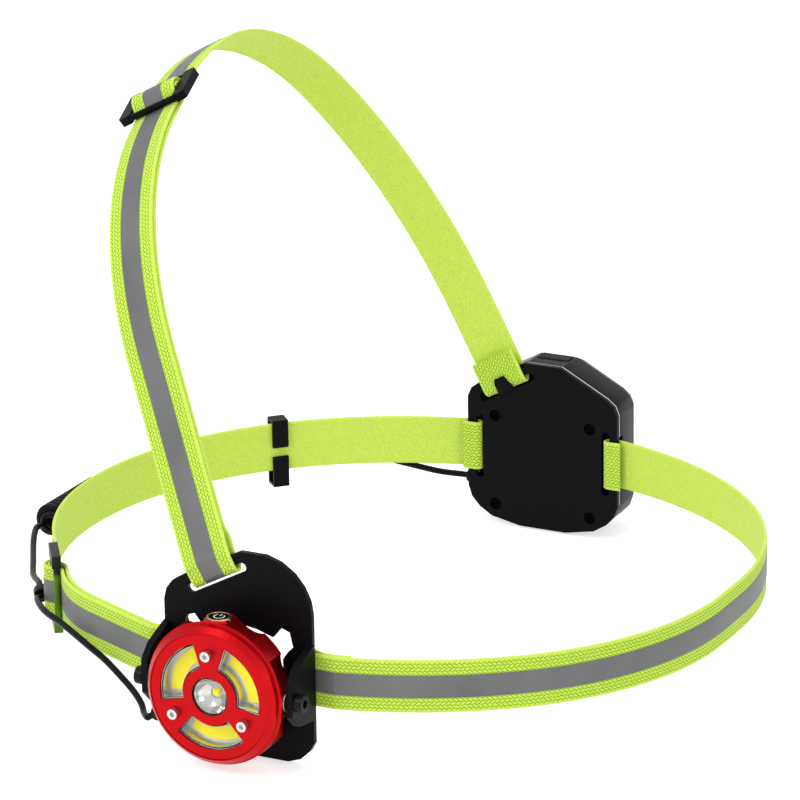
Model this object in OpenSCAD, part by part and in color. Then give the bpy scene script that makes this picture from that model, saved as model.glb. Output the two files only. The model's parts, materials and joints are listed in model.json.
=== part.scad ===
// Body-worn headlamp: a round lamp that tilts in a two-eared bracket, a battery case behind a rear
// plate, and a webbing harness of one band and one over-shoulder strap. The wearer faces -Y.
// The origin is the centre of the space the band goes round, at the band's mid height.

/* [Webbing] */
// Width of every strap
strap_w = 24; // [20:1:25]
// Thickness of every strap
strap_t = 1.6; // [1.2:0.1:2]
// Clearance between a strap and what it passes
strap_gap = 0.3; // [0.3:0.05:0.5]
// Length of a strap's folded and sewn tab
tab_len = 6; // [5:0.5:14]

/* [Band] */
// Half the width of the band loop, on the strap's middle layer
band_half_w = 164; // [150:1:180]
// Radius of the flatter stretches next to the plates
flat_r = 173; // [160:1:190]
// Angle at which a flat stretch gives way to a corner
flat_a = 39; // [32:1:42]
// Radius of the turn where a strap leaves a plate
kink_r = 5; // [5:0.5:10]
// Angle of that turn
kink_a = 13; // [8:1:16]
// Angle at which the doubled stretch on the left leaves the bracket
left_a = 24; // [22:1:26]
// Radius of the turn between the bracket and the side slider
left_r = 66; // [60:1:72]
// Angle of that turn
left_turn = 31; // [29:1:33]
// Straight run behind the side slider
left_lead = 24; // [20:1:26]
// Radius of the turn from there to the side
left_side_r = 132; // [126:1:134]

/* [Over-shoulder strap] */
// Lean of the strap's plane from the vertical, and of both shoulder slots
lean = 28; // [20:1:34]
// Height of the arch above the origin, along its leaning plane
arch_top = 245; // [220:1:270]
// Straight rise out of the rear shoulder slot
arch_rise = 32; // [20:1:50]
// Radius of the rear flank of the arch
arch_rear_r = 222; // [180:1:240]
// Turn of the rear flank
arch_rear_a = 35; // [30:1:40]
// Radius of the front flank of the arch
arch_front_r = 150; // [135:1:170]
// Turn from the top of the arch to the buckle
buckle_a = 20; // [15:1:28]

/* [Buckles] */
// Diameter of a buckle's cross bars
bar_d = 3; // [2.6:0.1:3.2]
// Distance between a buckle's cross bars
bar_pitch = 9; // [9:0.1:10]
// Width of a buckle's side rails
rail_w = 6; // [4:0.5:8]
// Thickness of a buckle's side rails
rail_t = 4; // [3.4:0.1:5]

/* [Plates] */
// Distance between the faces of the two plates that the wearer touches
plate_span = 302; // [280:1:320]
// Thickness of both plates
plate_t = 2.5; // [2:0.1:3.5]
// Width of a strap slot
slot_w = 4; // [3.6:0.1:4.2]
// Length of a strap slot
slot_len = 32; // [31:0.5:34]
// Half width of the rear plate
rear_half_w = 39.5; // [39:0.5:42]
// Distance from the middle of the rear plate to a side slot's middle
rear_slot_x = 33.3; // [32.8:0.1:34]
// Top of the rear plate above the origin
rear_top = 45; // [44:0.5:47]
// Bottom of the rear plate below the origin
rear_drop = 38; // [37:0.5:42]
// Half width of the front bracket
front_half_w = 35.8; // [35.5:0.1:37]
// Top of the front bracket above the origin
front_top = 54; // [53:0.5:57]
// Bottom of the front bracket below the origin
front_drop = 38.5; // [38:0.5:42]
// Half width of the window behind the lamp
window_half_w = 26.5; // [24:0.5:28]

/* [Lamp] */
// Height of the tilt axis above the origin
pivot_z = -3; // [-4:0.5:-2]
// Distance of the tilt axis in front of the bracket
pivot_reach = 16.2; // [16:0.1:18]
// Depth of the ears in front of the bracket
ear_reach = 20.2; // [20:0.1:23]
// Thickness of an ear
ear_t = 3.2; // [2.6:0.1:4]
// Radius of the lamp body over its lands
body_r = 32.2; // [32:0.1:32.3]
// Radius of the lamp's front rim
rim_r = 31; // [30.6:0.1:31.2]
// Radius of the flat face plate
face_r = 28.2; // [27.8:0.1:28.4]
// Distance of the lamp's front rim in front of the tilt axis
lamp_front = 10.4; // [10:0.1:11]
// Distance of the lamp's back behind the tilt axis
lamp_back = 12; // [11.5:0.1:12.5]
// Depth of the scallops between the lands
scallop_d = 4.2; // [3:0.1:4.6]
// Radius of a scallop
scallop_r = 9; // [8:0.5:11]
// Radius of the circle that the face screws and arc gaps lie on
screw_ring_r = 19.3; // [19:0.1:19.6]
// Inner radius of the arc windows
arc_in_r = 12.9; // [12.6:0.1:13.2]
// Outer radius of the arc windows
arc_out_r = 23.9; // [23.6:0.1:24.2]
// Angle that an arc window spans
arc_span = 84; // [78:1:86]
// Radius of the spot lens opening
spot_r = 8.6; // [8.2:0.1:9]
// Diameter of the pivot screws
pivot_d = 4; // [3:0.1:4.5]
// Diameter of the pivot screws' heads
pivot_head_d = 8; // [7:0.1:8]
// Travel of the power button
button_travel = 0.5; // [0.3:0.1:0.6]
// Diameter of the power button
button_d = 8.4; // [8:0.1:8.6]

/* [Battery case] */
// Depth of the case behind its seal
case_depth = 26.5; // [26.5:0.5:32]
// Wall of the case
case_wall = 2; // [1.6:0.1:2.2]
// Thickness of the case seal
seal_t = 1.6; // [1.2:0.1:1.8]
// Diameter of a cell
cell_d = 18.4; // [18:0.1:18.5]
// Length of a cell
cell_len = 65; // [64:0.5:65]
// Diameter of the case screws
case_screw_d = 3; // [2.5:0.1:3]
// Half the width between the case screws
case_screw_x = 25; // [24:0.5:26]
// Height of the upper case screws
case_screw_top = 16.5; // [16:0.5:17]
// Drop of the lower case screws
case_screw_low = 28.5; // [28:0.5:29]

/* [Lead] */
// Diameter of the lead
cord_d = 3; // [2.4:0.1:3.2]
// Radius of the coil's turns, on the lead's middle line
coil_r = 6; // [5:0.1:6.5]
// Distance from one turn of the coil to the next
coil_pitch = 3.8; // [3.7:0.1:4]

/* [Hidden] */
$fn = 48;

// Places of the plates and of the straps' middle layers
rear_y = plate_span / 2 + 1.3;
front_back_y = rear_y - plate_span;
front_y = front_back_y - plate_t;
layer = strap_t / 2 + strap_gap;
pin_d = 2.5;
pin_r = pin_d / 2 + layer;
fold_r = plate_t / 2 + layer;
rear_layer_y = rear_y + plate_t / 2 + fold_r;
pin_y = front_back_y + layer + pin_r;
pin_x = front_half_w - 5.5;
front_layer_y = pin_y - pin_r;
slot_edge = rear_slot_x + slot_w / 2;

// Band: turns from a plate to the side, and the corner radius that brings it to band_half_w
function run_x(r, a0, a1) = r * (sin(a1) - sin(a0));
function run_y(r, a0, a1) = r * (cos(a0) - cos(a1));
rear_start_x = rear_half_w - 1;
front_start_x = front_half_w + 8;
rear_corner_r = (band_half_w - rear_start_x - run_x(kink_r, 0, kink_a)
  - run_x(flat_r, kink_a, flat_a)) / (1 - sin(flat_a));
front_corner_r = (band_half_w - front_start_x - run_x(kink_r, 0, kink_a)
  - run_x(flat_r, kink_a, flat_a)) / (1 - sin(flat_a));
rear_corner_y = rear_layer_y - run_y(kink_r, 0, kink_a) - run_y(flat_r, kink_a, flat_a)
  - run_y(rear_corner_r, flat_a, 90);
front_corner_y = front_layer_y + run_y(kink_r, 0, kink_a) + run_y(flat_r, kink_a, flat_a)
  + run_y(front_corner_r, flat_a, 90);
slide_run = 2 * bar_pitch + 6;
left_slider_a = left_a + left_turn;
left_run = (band_half_w - front_start_x - run_x(kink_r, 0, left_a)
  - run_x(left_r, left_a, left_slider_a) - run_x(left_side_r, left_slider_a, 90)
  - (slide_run + left_lead) * cos(left_slider_a)) / cos(left_a);
left_corner_y = front_layer_y + run_y(kink_r, 0, left_a) + left_run * sin(left_a)
  + run_y(left_r, left_a, left_slider_a) + run_y(left_side_r, left_slider_a, 90)
  + (slide_run + left_lead) * sin(left_slider_a);

// Buckle threading: the strap passes under both outer bars and over the middle one, whose own
// fold of strap lies beneath it
under_r = bar_d / 2 + layer;
over_r = under_r + strap_t + strap_gap;
thread_a = asin((under_r + over_r) / bar_pitch);
thread_run = sqrt(bar_pitch * bar_pitch - (under_r + over_r) * (under_r + over_r));
thread_lead = slide_run / 2 - bar_pitch;
buckle_len = 2 * bar_pitch + bar_d;

// Paths are lists of [radius, angle] turns, left positive, and [0, length] runs
threading = [[0, thread_lead], [under_r, thread_a], [0, thread_run], [over_r, -2 * thread_a],
  [0, thread_run], [under_r, thread_a], [0, thread_lead]];
function corner_out(r) = [[kink_r, -kink_a], [flat_r, kink_a - flat_a], [r, flat_a - 90]];
function flip(path) = [for (s = path) s[0] == 0 ? s : [s[0], -s[1]]];
function reverse(path) = [for (i = [len(path) - 1:-1:0]) path[i]];

// Where the fraction f of step s ends, from the place and heading p = [x, y, heading]
function step_to(p, s, f = 1) = s[0] == 0
  ? [p[0] + f * s[1] * cos(p[2]), p[1] + f * s[1] * sin(p[2]), p[2]]
  : let (g = sign(s[1]) * s[0], h = p[2] + f * s[1])
    [p[0] + g * (sin(h) - sin(p[2])), p[1] - g * (cos(h) - cos(p[2])), h];
// Where a path's first n steps end
function after(path, n, p = [0, 0, 0], i = 0) = i >= n ? p
  : after(path, n, step_to(p, path[i]), i + 1);
function pieces(s) = s[0] == 0 ? 1 : ceil(abs(s[1]) / (s[0] > 50 ? 4 : 15));
// Places and headings all along a path
function places(path, p = [0, 0, 0], i = 0) = i >= len(path) ? [p]
  : concat([for (k = [0:pieces(path[i]) - 1]) step_to(p, path[i], k / pieces(path[i]))],
    places(path, step_to(p, path[i]), i + 1));
// Webbing laid along a path from the local origin, heading +X
module webbing(path) {
  line = places(path);
  n = len(line);
  function side(i, d) = [line[i][0] - d * sin(line[i][2]), line[i][1] + d * cos(line[i][2])];
  linear_extrude(strap_w, center = true) polygon(concat([for (i = [0:n - 1])
    side(i, strap_t / 2)], [for (i = [n - 1:-1:0]) side(i, -strap_t / 2)]));
}

// Over-shoulder strap: its path has X to the front and Y up the leaning plane
front_slot_x = -9.6;
front_slot_z = 40.4;
rear_shoulder_x = -18.5;
rear_shoulder_z = 31.7;
function up_lean(x, z) = z * cos(lean) - x * sin(lean);
function across_lean(x, z) = x * cos(lean) + z * sin(lean);
front_slot_u = up_lean(front_slot_x, front_slot_z) + slot_w / 2;
rear_slot_u = up_lean(rear_shoulder_x, rear_shoulder_z) + slot_w / 2;
front_slot_v = across_lean(front_slot_x, front_slot_z);
rear_slot_v = across_lean(rear_shoulder_x, rear_shoulder_z);
front_fold_y = front_y + plate_t / 2 - fold_r;
arch_yaw = atan((front_slot_v - rear_slot_v) / (rear_layer_y - front_fold_y));
arch_span = (rear_layer_y - front_fold_y) / cos(arch_yaw);
rear_lead = 8;
front_lead = 5.4;
bend_r = 8;
arch_flank = [[0, arch_rise], [arch_rear_r, -arch_rear_a]];
arch_start = [0, rear_slot_u + rear_lead, 90];
arch_knee = after(arch_flank, 2, arch_start);
arch_cap_r = (arch_top - arch_knee[1]) / (1 - sin(arch_rear_a));
arch_upper = concat(arch_flank, [[arch_cap_r, arch_rear_a - 90], [arch_front_r, -buckle_a]]);
arch_buckle = after(arch_upper, 4, arch_start);
arch_over = after(concat(arch_upper, [[0, slide_run]]), 5, arch_start);
// Straight run from the front flank's arc to the bend over the bracket's top edge
arch_dx = arch_span - bend_r - (arch_over[0] + arch_front_r * sin(arch_over[2]));
arch_dy = front_slot_u + front_lead - (arch_over[1] - arch_front_r * cos(arch_over[2]));
arch_dr = arch_front_r - bend_r;
arch_fall = sqrt(arch_dx * arch_dx + arch_dy * arch_dy - arch_dr * arch_dr);
arch_end_a = atan2(arch_dy, arch_dx) - atan2(arch_dr, arch_fall);

// Lamp frame: X to the right, Y up and Z forward along the lamp's axis, from the tilt axis
pivot_y = front_y - pivot_reach;
module in_lamp() {
  translate([0, pivot_y, pivot_z]) rotate([90, 0, 0]) children();
}
face_t = 2.8;
face_back = lamp_front - 0.2 - face_t;
board_z = 1.4;
board_t = 1.6;
board_r = 26;
floor_z = 2 - lamp_back;
core_r = 15;
land_back = -6;
land_front = 5.4;
post_r = 2.4;
face_screw_d = 2;
face_head_r = 2.3;
face_head_h = 3.6;
arc_turns = [150, 270, 30];
screw_turns = [90, 210, 330];
button_z = -0.3;
gland_lift = -1.6;
ear_out = front_half_w + 0.7;
gland_d = 5;
gland_turn = 208;
gland_tip = 38;

// Flat ring sector, centred on angle turn
module arc_slab(r0, r1, span, turn, z0, z1) {
  translate([0, 0, z0]) rotate([0, 0, turn - span / 2]) rotate_extrude(angle = span, $fn = 96)
    translate([r0, 0]) square([r1 - r0, z1 - z0]);
}

// ---- lamp ----
module lamp_body() {
  color("crimson") in_lamp() difference() {
    union() {
      rotate_extrude($fn = 96) polygon([[0, -lamp_back], [22, -lamp_back], [body_r, land_back],
        [body_r, land_front], [rim_r - 0.6, land_front + 0.5], [rim_r, land_front + 1],
        [rim_r, lamp_front - 2.2], [face_r + 0.6, lamp_front], [0, lamp_front]]);
      translate([0, 0, button_z]) rotate([-90, 0, 0]) cylinder(r = 6.4, h = body_r + 0.6);
    }
    for (i = [0:7]) rotate([0, 0, 22.5 + 45 * i]) scallop_cut();
    translate([0, 0, face_back]) cylinder(r = face_r + 0.15, h = 10, $fn = 96);
    translate([0, 0, board_z]) cylinder(r = board_r + 0.3, h = 20, $fn = 96);
    translate([0, 0, -5]) cylinder(r = 16.7, h = 20);
    translate([0, 0, floor_z]) cylinder(r = core_r, h = 20);
    rotate_extrude($fn = 96) translate([board_r + 1.4, face_back - 0.4]) circle(r = 0.75);
    for (a = [0, 180]) rotate([0, 0, a]) rotate([0, 90, 0])
      translate([0, 0, body_r - 7]) cylinder(r = pivot_d / 2, h = 10);
    rotate([0, 0, gland_turn]) translate([12, 0, gland_lift]) rotate([0, 90, 0])
      cylinder(r = gland_d / 2, h = 30);
    translate([0, 0, button_z]) rotate([-90, 0, 0]) {
      translate([0, 0, body_r - 1.6]) cylinder(r = button_d / 2 + 1.3, h = 10);
      translate([0, 0, body_r - 5.4]) cylinder(r = button_d / 2 - 0.6, h = 10);
    }
  }
  color("crimson") in_lamp() for (a = screw_turns) lamp_post(a);
}
module scallop_cut() {
  translate([body_r - scallop_d + scallop_r, 0, -lamp_back - 1])
    cylinder(r = scallop_r, h = land_front + lamp_back + 0.4);
}
module lamp_post(a) {
  difference() {
    translate([screw_ring_r * cos(a), screw_ring_r * sin(a), board_z - 1])
      cylinder(r = post_r, h = face_back - board_z + 1);
    translate([screw_ring_r * cos(a), screw_ring_r * sin(a), board_z + 1])
      cylinder(r = face_screw_d / 2, h = 20);
  }
}
module at_screws() {
  for (a = screw_turns) translate([screw_ring_r * cos(a), screw_ring_r * sin(a), 0]) children();
}
module face_plate() {
  color("red") in_lamp() difference() {
    translate([0, 0, face_back]) cylinder(r = face_r, h = face_t, $fn = 96);
    for (a = arc_turns) arc_slab(arc_in_r, arc_out_r, arc_span, a, face_back - 1, lamp_front + 1);
    translate([0, 0, face_back - 1]) cylinder(r = spot_r, h = face_t + 2);
    at_screws() {
      translate([0, 0, face_back - 1]) cylinder(r = face_screw_d / 2 + 0.1, h = 5);
      translate([0, 0, face_back + face_t - 0.4]) cylinder(r = face_head_r + 0.3, h = 5);
    }
  }
}
module face_seal() {
  color("dimgray") in_lamp() rotate_extrude($fn = 96)
    translate([board_r + 1.4, face_back - 0.55]) circle(r = 0.5);
}
module face_screws() {
  color("silver") in_lamp() at_screws() difference() {
    union() {
      translate([0, 0, face_back + face_t - 0.4]) cylinder(r = face_head_r, h = face_head_h);
      translate([0, 0, board_z + 1.2]) cylinder(r = face_screw_d / 2 - 0.02,
        h = face_back - board_z + 2);
    }
    translate([0, 0, face_back + face_t + face_head_h - 2]) cylinder(r = 1.15, h = 2, $fn = 6);
  }
}
module arc_windows() {
  color("lightcyan", 0.5) in_lamp() for (a = arc_turns)
    arc_slab(arc_in_r + 0.1, arc_out_r - 0.1, arc_span - 0.6, a, face_back + 1.2, face_back + 2);
}
module arc_reflectors() {
  color("gainsboro") in_lamp() for (a = arc_turns) difference() {
    arc_slab(arc_in_r + 0.1, arc_out_r - 0.1, arc_span - 0.6, a, board_z + board_t,
      face_back + 1.2);
    arc_slab(arc_in_r + 1, arc_out_r - 1, arc_span - 5, a, board_z, face_back + 2);
  }
}
module cob_strips() {
  color("gold") in_lamp() for (a = arc_turns)
    arc_slab(arc_in_r + 2.4, arc_out_r - 2.4, arc_span - 14, a, board_z + board_t,
      board_z + board_t + 1);
}
module led_board() {
  color("white") in_lamp() difference() {
    translate([0, 0, board_z]) cylinder(r = board_r, h = board_t, $fn = 96);
    translate([0, 0, board_z - 1]) at_screws() cylinder(r = post_r + 0.2, h = board_t + 2);
  }
}
module spot_led() {
  color("yellow") in_lamp() translate([0, 0, board_z + board_t]) {
    translate([-1.7, -1.7, 0]) cube([3.4, 3.4, 0.6]);
    translate([0, 0, 0.6]) cylinder(r = 1.4, h = 0.7);
  }
}
module spot_reflector() {
  color("silver") in_lamp() rotate_extrude() polygon([[2.6, board_z + board_t],
    [3.4, board_z + board_t], [6, board_z + board_t + 1.6], [7.6, face_back - 0.4],
    [spot_r - 0.1, face_back + 1.4], [7.9, face_back + 1.4], [6.9, face_back - 0.4],
    [5.4, board_z + board_t + 2.2], [2.6, board_z + board_t + 0.9]]);
}
module spot_lens() {
  color("white", 0.4) in_lamp() translate([0, 0, face_back + 1.4])
    cylinder(r = spot_r - 0.1, h = 1);
}
module driver_board() {
  color("darkgreen") in_lamp() translate([0, 0, -5]) cylinder(r = 16.5, h = 1.6);
}
module power_button() {
  color("black") in_lamp() translate([0, 0, button_z]) rotate([-90, 0, 0]) {
    translate([0, 0, body_r - 0.8]) cylinder(r = button_d / 2, h = 1.6);
    translate([0, 0, body_r - 2.2]) cylinder(r = 1.4, h = 1.6);
  }
}
module button_ring() {
  color("goldenrod") in_lamp() translate([0, 0, button_z]) rotate([-90, 0, 0])
    translate([0, 0, body_r - 1.6]) difference() {
      cylinder(r = button_d / 2 + 1.25, h = 2.7);
      translate([0, 0, -1]) cylinder(r = button_d / 2 + 0.08, h = 5);
    }
}
module button_switch() {
  color("gray") in_lamp() translate([0, 0, button_z]) rotate([-90, 0, 0])
    translate([0, 0, body_r - 5.4]) cylinder(r = button_d / 2 - 0.7, h = 3.1 - button_travel);
}
module lamp_gland() {
  color("black") in_lamp() rotate([0, 0, gland_turn]) translate([0, 0, gland_lift])
    rotate([0, 90, 0]) {
      translate([0, 0, 18]) cylinder(r = gland_d / 2 - 0.02, h = gland_tip - 19);
      translate([0, 0, body_r - 3]) cylinder(r = gland_d / 2 + 0.6, h = gland_tip - body_r + 3);
    }
}
module pivot_screws() {
  color("#202022") in_lamp() for (a = [0, 180]) rotate([0, 0, a]) rotate([0, 90, 0])
    difference() {
      union() {
        translate([0, 0, body_r - 6]) cylinder(r = pivot_d / 2 - 0.02, h = 12);
        translate([0, 0, ear_out + 0.3]) cylinder(r = pivot_head_d / 2, h = 3.8);
      }
      translate([0, 0, ear_out + 2]) cylinder(r = 2, h = 5, $fn = 6);
    }
}
module pivot_washers() {
  color("gray") in_lamp() for (a = [0, 180]) rotate([0, 0, a]) rotate([0, 90, 0])
    translate([0, 0, body_r]) difference() {
      cylinder(r = 4.6, h = ear_out - ear_t - body_r - 0.6);
      translate([0, 0, -1]) cylinder(r = pivot_d / 2 + 0.05, h = 5);
    }
}

// ---- front bracket ----
bracket_outline = [[-front_half_w, -28], [-front_half_w, 27], [-34.6, 32], [-31.5, 36],
  [-27.5, 38.6], [front_slot_x + 11.3, front_top], [14, front_top], [21, front_top - 2.2],
  [27.5, front_top - 6.6], [32, front_top - 12], [34.8, front_top - 18], [front_half_w, 30],
  [front_half_w, -28], [33.6, -32], [29, -36.4], [23, -front_drop], [-23, -front_drop],
  [-29, -36.4], [-33.6, -32]];
module plate_sheet(outline, y, t) {
  translate([0, y + t, 0]) rotate([90, 0, 0]) linear_extrude(t) polygon(outline);
}
module slot_cut(length, width, depth) {
  translate([0, depth, 0]) rotate([90, 0, 0]) linear_extrude(2 * depth) {
    square([length - width, width], center = true);
    for (s = [-1, 1]) translate([s * (length - width) / 2, 0]) circle(d = width);
  }
}
module ear(side) {
  translate([side > 0 ? ear_out - ear_t : -ear_out, front_y, 0]) rotate([90, 0, 90])
    linear_extrude(ear_t) polygon([[1, 17], [0, 17], [-14, 12], [-ear_reach, 6],
      [-ear_reach, -9], [-14, -15], [0, -17], [1, -17]]);
}
module pin_lug(side, z) {
  translate([side * pin_x, pin_y, z]) union() {
    cylinder(r = pin_d / 2 + 1.6, h = 3.4, center = true);
    translate([-pin_d / 2 - 1.6, front_back_y - pin_y, -1.7])
      cube([pin_d + 3.2, pin_y - front_back_y, 3.4]);
  }
}
module front_bracket() {
  color("#262628") difference() {
    union() {
      plate_sheet(bracket_outline, front_y, plate_t);
      for (s = [-1, 1]) ear(s);
      for (s = [-1, 1], z = [-1, 1]) pin_lug(s, z * (strap_w / 2 + 2.4));
    }
    translate([0, front_y, 0]) lamp_window();
    translate([front_slot_x, front_y, front_slot_z]) rotate([0, -lean, 0])
      slot_cut(slot_len, slot_w, 10);
    translate([0, pivot_y, pivot_z]) rotate([0, 90, 0])
      cylinder(r = pivot_d / 2 + 0.05, h = 200, center = true);
    for (s = [-1, 1]) translate([s * pin_x, pin_y, 0]) cylinder(r = pin_d / 2, h = 80, center = true);
  }
}
module lamp_window() {
  side = [[9, 20], [17, 17.5], [21, 22.5], [25, 21], [window_half_w, 14.5],
    [window_half_w - 2.5, 12], [21.5, 8.5], [21.5, -18], [15, -23.5]];
  translate([0, 10, 0]) rotate([90, 0, 0]) linear_extrude(20) for (x = [-1, 1])
    polygon(concat([[0, 21.2]], [for (p = side) [x * p[0], p[1]]], [[0, -23.5]]));
}
module strap_pins() {
  color("silver") for (s = [-1, 1]) translate([s * pin_x, pin_y, 0])
    cylinder(r = pin_d / 2 - 0.02, h = strap_w + 8.2, center = true);
}

// ---- webbing ----
tab_start_x = slot_edge + tab_len;
plate_lead = rear_start_x - slot_edge;
pin_lead = front_start_x - pin_x;
// Bends that bring a layer back beside the outer one after a fold round a pin of radius r
return_gap = 2 * layer;
close_r = 8;
function close_a(r) = acos(1 - (2 * r - return_gap) / (2 * close_r));
function close_up(r, turn) = [[close_r, turn * close_a(r)], [close_r, -turn * close_a(r)]];
function close_len(r) = 2 * close_r * sin(close_a(r));
band_right_path = concat([[0, tab_len], [fold_r, -180], [0, plate_lead]],
  corner_out(rear_corner_r), [[0, rear_corner_y - front_corner_y]],
  reverse(corner_out(front_corner_r)), [[0, pin_lead], [pin_r, -180]], close_up(pin_r, -1),
  [[0, pin_lead - close_len(pin_r)], [kink_r - return_gap, kink_a], [0, tab_len]]);
module band_strap_right() {
  color("#c8f53a") translate([tab_start_x, rear_layer_y - 2 * fold_r, 0])
    rotate([0, 0, 180]) webbing(band_right_path);
}
// A return layer runs beside the outer one, up to its fold round the buckle's middle bar
return_a = 35;
return_r = 6;
bar_level = under_r + return_gap;
return_rise = (bar_level - under_r * cos(return_a) - return_r * (1 - cos(return_a)))
  / sin(return_a);
return_back = return_r * sin(return_a) + return_rise * cos(return_a) - under_r * sin(return_a);
function return_fold(turn) = [[0, slide_run / 2 - return_back], [return_r, turn * return_a],
  [0, return_rise], [under_r, turn * 185]];
band_left_path = concat([[0, tab_len], [fold_r, 180], [0, plate_lead]],
  flip(corner_out(rear_corner_r)), [[0, rear_corner_y - left_corner_y],
  [left_side_r, 90 - left_slider_a], [0, left_lead]], flip(threading), [[left_r, left_turn], [0, left_run],
  [kink_r, left_a], [0, pin_lead], [pin_r, 180]], close_up(pin_r, 1),
  [[0, pin_lead - close_len(pin_r)], [kink_r - return_gap, -left_a], [0, left_run],
  [left_r - return_gap, -left_turn]],
  return_fold(1));
module band_strap_left() {
  color("#c8f53a") translate([-tab_start_x, rear_layer_y - 2 * fold_r, 0])
    webbing(band_left_path);
}
// Frame of the over-shoulder strap, from its middle layer behind the rear slot
module in_arch(turn = arch_yaw) {
  rotate([0, -lean, 0]) translate([rear_slot_v, rear_layer_y, 0]) rotate([0, 0, turn - 90])
    rotate([90, 0, 0]) children();
}
module in_arch_front() {
  rotate([0, -lean, 0]) translate([front_slot_v, front_fold_y, 0]) rotate([0, 0, -90])
    rotate([90, 0, 0]) children();
}
arch_main = concat(arch_upper, threading, [[arch_front_r, arch_end_a - arch_over[2]],
  [0, arch_fall], [bend_r, -90 - arch_end_a]]);
arch_return = concat([[bend_r - 2 * fold_r, 90 + arch_end_a], [0, 4]], close_up(fold_r, -1),
  [[0, arch_fall - 4 - close_len(fold_r)],
  [arch_front_r - return_gap, arch_over[2] - arch_end_a]], return_fold(-1));
shoulder_tab = tab_len + 8;
// Three lengths meet a hair apart, as the slots' planes and the arch's plane differ by arch_yaw
module shoulder_strap() {
  seam = 0.05;
  color("#c8f53a") {
    in_arch(0) translate([2 * fold_r, rear_slot_u + shoulder_tab, 0]) rotate([0, 0, -90])
      webbing([[0, shoulder_tab], [fold_r, -180], [0, rear_lead - seam]]);
    in_arch() translate([0, arch_start[1], 0]) rotate([0, 0, 90]) webbing(arch_main);
    in_arch_front() translate([0, front_slot_u + front_lead - seam, 0]) rotate([0, 0, -90])
      webbing([[0, front_lead - seam], [fold_r, -180], [0, front_lead - seam]]);
    in_arch() translate([arch_span - 2 * fold_r, front_slot_u + front_lead, 0])
      rotate([0, 0, 90]) webbing(arch_return);
  }
}

// ---- buckles, clip and clamp ----
// Buckle in its strap's frame: X along the strap, Y outward, Z across, from the middle bar
module buckle() {
  for (i = [-1:1]) translate([i * bar_pitch, 0, 0])
    cylinder(r = bar_d / 2, h = strap_w + 2 * strap_gap + 1, center = true);
  for (s = [-1, 1]) translate([0, 0, s * (strap_w / 2 + strap_gap + rail_w / 2)])
    buckle_rail();
}
module buckle_rail() {
  rotate([90, 0, 0]) linear_extrude(rail_t, center = true) {
    square([buckle_len - 3, rail_w], center = true);
    square([buckle_len, rail_w - 3], center = true);
    for (x = [-1, 1], z = [-1, 1])
      translate([x * (buckle_len - 3) / 2, z * (rail_w - 3) / 2]) circle(r = 1.5);
  }
}
slider_at = after(band_left_path, 9, [-tab_start_x, rear_layer_y - 2 * fold_r, 0]);
module at_slider() {
  translate([slider_at[0], slider_at[1], 0]) rotate([0, 0, slider_at[2]])
    translate([slide_run / 2, -under_r, 0]) mirror([0, 1, 0]) children();
}
module side_slider() {
  color("#222224") at_slider() buckle();
}
module top_buckle() {
  color("#222224") in_arch() translate([arch_buckle[0], arch_buckle[1], 0])
    rotate([0, 0, arch_buckle[2]]) translate([slide_run / 2, under_r, 0]) buckle();
}
clamp_len = 6.6;
clamp_r = 3.3;
clamp_rise = 4.7;
clamp_z = -5.5;
module cord_clamp() {
  color("#222224") at_slider() translate([-bar_pitch, bar_d / 2, clamp_z]) difference() {
    union() {
      translate([-clamp_len / 2, 0, -clamp_r]) cube([clamp_len, clamp_rise, 2 * clamp_r]);
      translate([0, clamp_rise, 0]) rotate([0, 90, 0])
        cylinder(r = clamp_r, h = clamp_len, center = true);
    }
    translate([0, clamp_rise, 0]) rotate([0, 90, 0])
      cylinder(r = cord_d / 2 + 0.3, h = 20, center = true);
  }
}
// Clip: hooks over both edges of the band; the lead lies in its lower hook
clip_a = 45;
clip_w = 8;
clip_wall = 1.6;
clip_out = layer + cord_d + strap_gap;
clip_low = strap_w / 2 + strap_gap + cord_d + 3;
clip_turn = clip_w / rear_corner_r * 180 / PI;
clip_x = -(band_half_w - rear_corner_r);
module cord_clip() {
  inner = rear_corner_r - layer;
  outer = rear_corner_r + clip_out;
  top = strap_w / 2 + strap_gap;
  color("#222224") translate([clip_x, rear_corner_y, 0]) rotate([0, 0, 90 + clip_a - clip_turn / 2])
    rotate_extrude(angle = clip_turn, $fn = 96) polygon([[inner - clip_wall, 0], [inner, 0],
      [inner, top], [outer, top], [outer, -clip_low], [inner, -clip_low], [inner, -4.5],
      [inner - clip_wall, -4.5], [inner - clip_wall, -clip_low - clip_wall],
      [outer + clip_wall, -clip_low - clip_wall], [outer + clip_wall, top + clip_wall],
      [inner - clip_wall, top + clip_wall]]);
}

// ---- rear plate and battery case ----
rear_outline = [[-9.5, rear_top], [9.5, rear_top], [33.5, rear_top - 12.8], [37.6, rear_top - 16],
  [rear_half_w, rear_top - 20.5], [rear_half_w, -21], [37.6, -26.5], [33.5, -31], [27, -35],
  [12, -rear_drop], [-12, -rear_drop], [-27, -35], [-33.5, -31], [-37.6, -26.5],
  [-rear_half_w, -21], [-rear_half_w, rear_top - 20.5], [-37.6, rear_top - 16],
  [-33.5, rear_top - 12.8]];
function inset(outline, d) = [for (p = outline) [p[0] * (1 - d / rear_half_w),
  mid_z + (p[1] - mid_z) * (1 - 2 * d / (rear_top + rear_drop))]];
mid_z = (rear_top - rear_drop) / 2;
seal_y = rear_y + plate_t;
case_y = seal_y + seal_t;
case_flat = 16;
screw_places = [[-case_screw_x, case_screw_top], [case_screw_x, case_screw_top],
  [-case_screw_x, -case_screw_low], [case_screw_x, -case_screw_low]];
module at_case_screws() {
  for (p = screw_places) translate([p[0], 0, p[1]]) rotate([-90, 0, 0]) children();
}
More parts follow.
